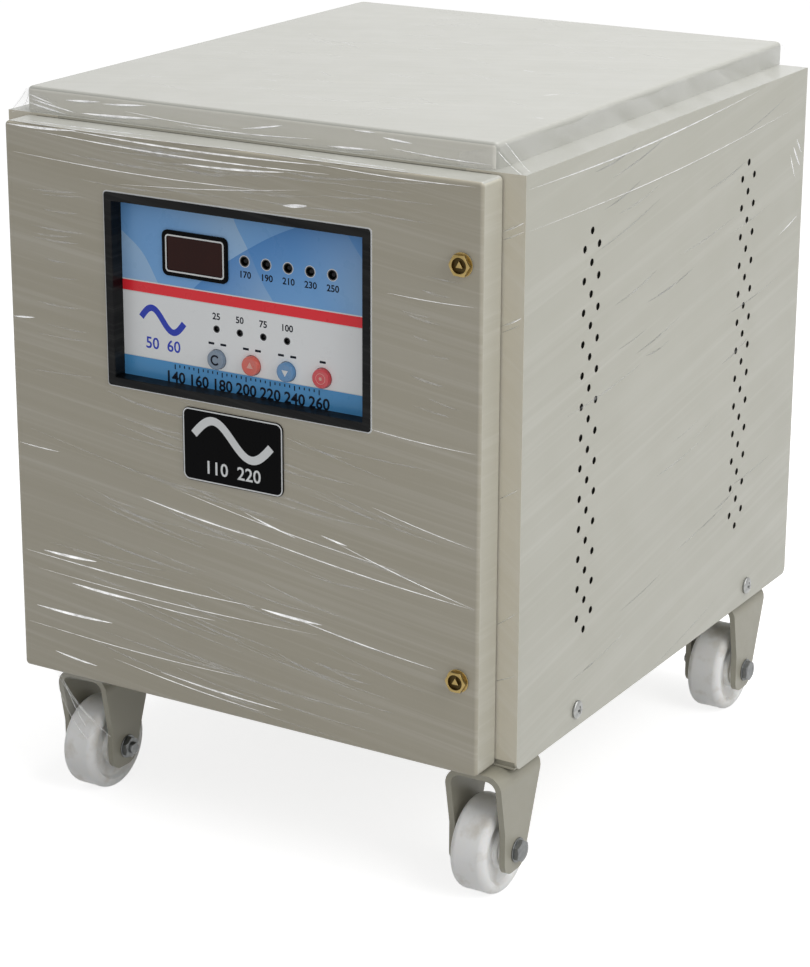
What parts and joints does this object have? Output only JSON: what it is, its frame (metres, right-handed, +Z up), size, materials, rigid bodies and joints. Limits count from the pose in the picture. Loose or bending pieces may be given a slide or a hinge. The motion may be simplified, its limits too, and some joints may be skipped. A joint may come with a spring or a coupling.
{
  "type": "voltage stabilizer",
  "caption": "Servo voltage stabilizer in a folded steel case on casters, with a hinged door that carries a sunken display panel, push buttons and latches.",
  "frame": {"origin": "middle of the footprint of the whole object's box, on the floor", "axes": "+X to the right seen from the front, +Y towards the back, +Z up"},
  "size_m": [0.3859, 0.4584, 0.4777],
  "materials": {
    "case_paint": "warm grey powder coat, fine orange peel",
    "caster_paint": "warm grey powder coat over pressed plate",
    "white_nylon": "moulded white nylon, slightly waxy",
    "zinc_steel": "zinc plated steel",
    "brass": "turned brass, lightly tarnished",
    "black_plastic": "moulded black ABS",
    "printed_panel": "screen-printed polycarbonate in blues, white and red",
    "dark_red_acrylic": "dark red acrylic filter",
    "digit_housing": "dark grey digit housing with pale segments",
    "lamp_lens": "unlit lamp lens",
    "badge_black": "black anodised plate with a pale rim line",
    "grey_cap": "grey-blue push button",
    "orange_cap": "orange-red push button",
    "blue_cap": "blue push button",
    "red_cap": "red push button",
    "circuit_board": "green solder mask",
    "board_parts": "relays, capacitors and a small transformer",
    "cast_frame": "die-cast aluminium",
    "core_steel": "varnished laminated silicon steel",
    "copper_winding": "enamelled copper wire",
    "shaft_steel": "ground steel",
    "laminate": "glass-epoxy laminate",
    "carbon": "pressed carbon",
    "motor_case": "grey enamel on steel",
    "breaker_case": "moulded light grey plastic"
  },
  "bodies": {
    "case": {"base_pan": "case_paint", "left_side_panel": "case_paint", "right_side_panel": "case_paint", "rear_panel": "case_paint", "front_frame": "case_paint", "top_cover": "case_paint", "case_screws": "zinc_steel", "front_left_fork": "caster_paint", "front_right_fork": "caster_paint", "rear_left_fork": "caster_paint", "rear_right_fork": "caster_paint", "axle_sleeves": "shaft_steel", "axle_bolts": "zinc_steel", "axle_nuts": "zinc_steel", "fork_fasteners": "zinc_steel", "hinge_arms": "case_paint", "hinge_pins": "zinc_steel", "regulator_frame": "cast_frame", "regulator_core": "core_steel", "regulator_winding": "copper_winding", "motor_bridge": "zinc_steel", "servo_motor": "motor_case", "transformer_core": "core_steel", "transformer_coil": "copper_winding", "transformer_clamps": "zinc_steel", "switch_plate": "case_paint", "din_rail": "zinc_steel", "breaker_body": "breaker_case", "terminal_block": "black_plastic", "cable_glands": "black_plastic", "earth_stud": "brass"},
    "door": {"door_panel": "case_paint", "hinge_lugs": "case_paint", "latch_bushes": "zinc_steel", "badge_plate": "badge_black", "display_bezel": "black_plastic", "fascia_panel": "printed_panel", "screen_surround": "black_plastic", "screen_window": "dark_red_acrylic", "digit_module": "digit_housing", "indicator_lamps": "lamp_lens", "control_board": "circuit_board", "board_standoffs": "zinc_steel", "board_components": "board_parts"},
    "upper_latch": {"upper_latch_spindle": "brass", "upper_latch_cam": "zinc_steel"},
    "lower_latch": {"lower_latch_spindle": "brass", "lower_latch_cam": "zinc_steel"},
    "grey_button_body": {"grey_button": "grey_cap"},
    "orange_button_body": {"orange_button": "orange_cap"},
    "blue_button_body": {"blue_button": "blue_cap"},
    "red_button_body": {"red_button": "red_cap"},
    "front_left_wheel_body": {"front_left_wheel": "white_nylon"},
    "front_right_wheel_body": {"front_right_wheel": "white_nylon"},
    "rear_left_wheel_body": {"rear_left_wheel": "white_nylon"},
    "rear_right_wheel_body": {"rear_right_wheel": "white_nylon"},
    "brush_carrier": {"regulator_shaft": "shaft_steel", "brush_arm": "laminate", "carbon_brush": "carbon"},
    "toggle": {"breaker_toggle": "black_plastic"}
  },
  "joints": [
    {"name": "door_swing", "type": "hinge", "parent": "case", "child": "door", "pos_m": [-0.1705, -0.21575, 0.28], "axis": [0, 0, -1], "range_deg": [0, 105]},
    {"name": "upper_latch_turn", "type": "hinge", "parent": "door", "child": "upper_latch", "pos_m": [0.1613, -0.22485, 0.4105], "axis": [0, -1, 0], "range_deg": [0, 90]},
    {"name": "lower_latch_turn", "type": "hinge", "parent": "door", "child": "lower_latch", "pos_m": [0.1613, -0.22485, 0.1495], "axis": [0, -1, 0], "range_deg": [0, 90]},
    {"name": "grey_button_press", "type": "slide", "parent": "door", "child": "grey_button_body", "axis": [0, 1, 0], "range_m": [0, 0.001], "stiffness_N_per_m": 400},
    {"name": "orange_button_press", "type": "slide", "parent": "door", "child": "orange_button_body", "axis": [0, 1, 0], "range_m": [0, 0.001], "stiffness_N_per_m": 400},
    {"name": "blue_button_press", "type": "slide", "parent": "door", "child": "blue_button_body", "axis": [0, 1, 0], "range_m": [0, 0.001], "stiffness_N_per_m": 400},
    {"name": "red_button_press", "type": "slide", "parent": "door", "child": "red_button_body", "axis": [0, 1, 0], "range_m": [0, 0.001], "stiffness_N_per_m": 400},
    {"name": "front_left_wheel_roll", "type": "hinge", "parent": "case", "child": "front_left_wheel_body", "pos_m": [-0.133, -0.19565, 0.031], "axis": [1, 0, 0], "continuous": true},
    {"name": "front_right_wheel_roll", "type": "hinge", "parent": "case", "child": "front_right_wheel_body", "pos_m": [0.1685, -0.19565, 0.031], "axis": [1, 0, 0], "continuous": true},
    {"name": "rear_left_wheel_roll", "type": "hinge", "parent": "case", "child": "rear_left_wheel_body", "pos_m": [-0.133, 0.14735, 0.031], "axis": [1, 0, 0], "continuous": true},
    {"name": "rear_right_wheel_roll", "type": "hinge", "parent": "case", "child": "rear_right_wheel_body", "pos_m": [0.1685, 0.14735, 0.031], "axis": [1, 0, 0], "continuous": true},
    {"name": "brush_sweep", "type": "hinge", "parent": "case", "child": "brush_carrier", "pos_m": [-0.08398, 0.01675, 0.18], "axis": [0, 0, 1], "range_deg": [-150, 150]},
    {"name": "breaker_switch", "type": "hinge", "parent": "case", "child": "toggle", "pos_m": [0.07, -0.18175, 0.1725], "axis": [1, 0, 0], "range_deg": [0, 80]}
  ]
}
